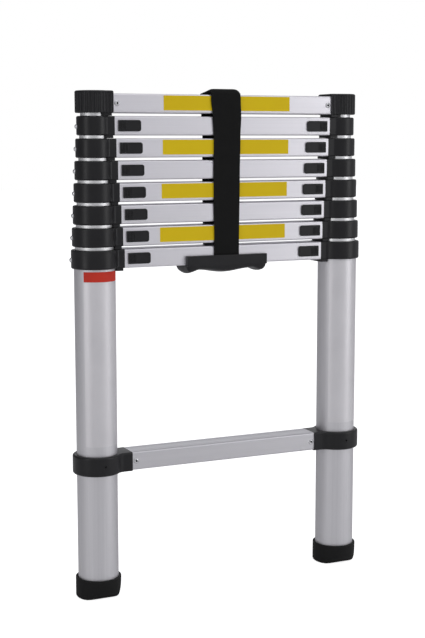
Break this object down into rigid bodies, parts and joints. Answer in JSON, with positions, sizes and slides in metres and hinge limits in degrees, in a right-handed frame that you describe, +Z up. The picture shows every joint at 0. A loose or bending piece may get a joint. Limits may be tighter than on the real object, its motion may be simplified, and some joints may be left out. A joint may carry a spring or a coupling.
{
  "type": "telescoping ladder",
  "caption": "Closed telescoping ladder: nested round aluminium tubes with box rungs, black collars, thumb latches, rubber feet and a carry strap with a handle.",
  "frame": {"origin": "on the floor, midway between the two stiles", "axes": "X along the rungs, -Y toward the front with the latches, Z up along the stiles"},
  "size_m": [0.4714, 0.0714, 0.7389],
  "materials": {
    "tube_aluminium": "satin anodised",
    "rung_aluminium": "satin extruded",
    "black_plastic": "fine moulded",
    "foot_rubber": "matt",
    "white_nylon": "matt",
    "spring_steel": "drawn wire",
    "rivet_metal": "bright",
    "strap_webbing": "woven"
  },
  "bodies": {
    "section_1": {"feet": "foot_rubber", "bottom_clamps": "black_plastic", "bottom_rung": "rung_aluminium", "bottom_rivets": "rivet_metal", "rung_1": "rung_aluminium", "stile_tubes_1": "tube_aluminium", "collars_1": "black_plastic", "lock_springs_1": "spring_steel"},
    "section_2": {"stile_tubes_2": "tube_aluminium", "collars_2": "black_plastic", "rung_2": "rung_aluminium", "guide_bushes_2": "white_nylon", "lock_springs_2": "spring_steel"},
    "section_3": {"stile_tubes_3": "tube_aluminium", "collars_3": "black_plastic", "rung_3": "rung_aluminium", "guide_bushes_3": "white_nylon", "lock_springs_3": "spring_steel"},
    "section_4": {"stile_tubes_4": "tube_aluminium", "collars_4": "black_plastic", "rung_4": "rung_aluminium", "guide_bushes_4": "white_nylon", "lock_springs_4": "spring_steel"},
    "section_5": {"stile_tubes_5": "tube_aluminium", "collars_5": "black_plastic", "rung_5": "rung_aluminium", "guide_bushes_5": "white_nylon", "lock_springs_5": "spring_steel"},
    "section_6": {"stile_tubes_6": "tube_aluminium", "collars_6": "black_plastic", "rung_6": "rung_aluminium", "guide_bushes_6": "white_nylon", "lock_springs_6": "spring_steel"},
    "section_7": {"stile_tubes_7": "tube_aluminium", "collars_7": "black_plastic", "rung_7": "rung_aluminium", "guide_bushes_7": "white_nylon", "lock_springs_7": "spring_steel"},
    "section_8": {"stile_tubes_8": "tube_aluminium", "top_caps": "black_plastic", "rung_8": "rung_aluminium", "guide_bushes_8": "white_nylon", "top_rivets": "rivet_metal"},
    "latch_1_left": {"latch_1_left": "black_plastic"},
    "latch_1_right": {"latch_1_right": "black_plastic"},
    "latch_2_left": {"latch_2_left": "black_plastic"},
    "latch_2_right": {"latch_2_right": "black_plastic"},
    "latch_3_left": {"latch_3_left": "black_plastic"},
    "latch_3_right": {"latch_3_right": "black_plastic"},
    "latch_4_left": {"latch_4_left": "black_plastic"},
    "latch_4_right": {"latch_4_right": "black_plastic"},
    "latch_5_left": {"latch_5_left": "black_plastic"},
    "latch_5_right": {"latch_5_right": "black_plastic"},
    "latch_6_left": {"latch_6_left": "black_plastic"},
    "latch_6_right": {"latch_6_right": "black_plastic"},
    "latch_7_left": {"latch_7_left": "black_plastic"},
    "latch_7_right": {"latch_7_right": "black_plastic"},
    "strap": {"strap": "strap_webbing"},
    "handle": {"handle": "black_plastic"}
  },
  "joints": [
    {"name": "section_2_slide", "type": "slide", "parent": "section_1", "child": "section_2", "axis": [0, 0, 1], "range_m": [0, 0.2664]},
    {"name": "section_3_slide", "type": "slide", "parent": "section_2", "child": "section_3", "axis": [0, 0, 1], "range_m": [0, 0.2664]},
    {"name": "section_4_slide", "type": "slide", "parent": "section_3", "child": "section_4", "axis": [0, 0, 1], "range_m": [0, 0.2664]},
    {"name": "section_5_slide", "type": "slide", "parent": "section_4", "child": "section_5", "axis": [0, 0, 1], "range_m": [0, 0.2664]},
    {"name": "section_6_slide", "type": "slide", "parent": "section_5", "child": "section_6", "axis": [0, 0, 1], "range_m": [0, 0.2664]},
    {"name": "section_7_slide", "type": "slide", "parent": "section_6", "child": "section_7", "axis": [0, 0, 1], "range_m": [0, 0.2664]},
    {"name": "section_8_slide", "type": "slide", "parent": "section_7", "child": "section_8", "axis": [0, 0, 1], "range_m": [0, 0.2664]},
    {"name": "latch_1_left_slide", "type": "slide", "parent": "section_1", "child": "latch_1_left", "axis": [1, 0, 0], "range_m": [0, 0.008], "stiffness_N_per_m": 400, "springref_m": -0.01, "deforming": ["lock_springs_1"]},
    {"name": "latch_1_right_slide", "type": "slide", "parent": "section_1", "child": "latch_1_right", "axis": [-1, 0, 0], "range_m": [0, 0.008], "stiffness_N_per_m": 400, "springref_m": -0.01, "deforming": ["lock_springs_1"]},
    {"name": "latch_2_left_slide", "type": "slide", "parent": "section_2", "child": "latch_2_left", "axis": [1, 0, 0], "range_m": [0, 0.008], "stiffness_N_per_m": 400, "springref_m": -0.01, "deforming": ["lock_springs_2"]},
    {"name": "latch_2_right_slide", "type": "slide", "parent": "section_2", "child": "latch_2_right", "axis": [-1, 0, 0], "range_m": [0, 0.008], "stiffness_N_per_m": 400, "springref_m": -0.01, "deforming": ["lock_springs_2"]},
    {"name": "latch_3_left_slide", "type": "slide", "parent": "section_3", "child": "latch_3_left", "axis": [1, 0, 0], "range_m": [0, 0.008], "stiffness_N_per_m": 400, "springref_m": -0.01, "deforming": ["lock_springs_3"]},
    {"name": "latch_3_right_slide", "type": "slide", "parent": "section_3", "child": "latch_3_right", "axis": [-1, 0, 0], "range_m": [0, 0.008], "stiffness_N_per_m": 400, "springref_m": -0.01, "deforming": ["lock_springs_3"]},
    {"name": "latch_4_left_slide", "type": "slide", "parent": "section_4", "child": "latch_4_left", "axis": [1, 0, 0], "range_m": [0, 0.008], "stiffness_N_per_m": 400, "springref_m": -0.01, "deforming": ["lock_springs_4"]},
    {"name": "latch_4_right_slide", "type": "slide", "parent": "section_4", "child": "latch_4_right", "axis": [-1, 0, 0], "range_m": [0, 0.008], "stiffness_N_per_m": 400, "springref_m": -0.01, "deforming": ["lock_springs_4"]},
    {"name": "latch_5_left_slide", "type": "slide", "parent": "section_5", "child": "latch_5_left", "axis": [1, 0, 0], "range_m": [0, 0.008], "stiffness_N_per_m": 400, "springref_m": -0.01, "deforming": ["lock_springs_5"]},
    {"name": "latch_5_right_slide", "type": "slide", "parent": "section_5", "child": "latch_5_right", "axis": [-1, 0, 0], "range_m": [0, 0.008], "stiffness_N_per_m": 400, "springref_m": -0.01, "deforming": ["lock_springs_5"]},
    {"name": "latch_6_left_slide", "type": "slide", "parent": "section_6", "child": "latch_6_left", "axis": [1, 0, 0], "range_m": [0, 0.008], "stiffness_N_per_m": 400, "springref_m": -0.01, "deforming": ["lock_springs_6"]},
    {"name": "latch_6_right_slide", "type": "slide", "parent": "section_6", "child": "latch_6_right", "axis": [-1, 0, 0], "range_m": [0, 0.008], "stiffness_N_per_m": 400, "springref_m": -0.01, "deforming": ["lock_springs_6"]},
    {"name": "latch_7_left_slide", "type": "slide", "parent": "section_7", "child": "latch_7_left", "axis": [1, 0, 0], "range_m": [0, 0.008], "stiffness_N_per_m": 400, "springref_m": -0.01, "deforming": ["lock_springs_7"]},
    {"name": "latch_7_right_slide", "type": "slide", "parent": "section_7", "child": "latch_7_right", "axis": [-1, 0, 0], "range_m": [0, 0.008], "stiffness_N_per_m": 400, "springref_m": -0.01, "deforming": ["lock_springs_7"]},
    {"name": "strap_lift", "type": "slide", "parent": "section_8", "child": "strap", "axis": [0, 0, 1], "range_m": [0, 0.3]},
    {"name": "handle_drop", "type": "slide", "parent": "section_1", "child": "handle", "axis": [0, 0, -1], "range_m": [0, 0.06]}
  ]
}
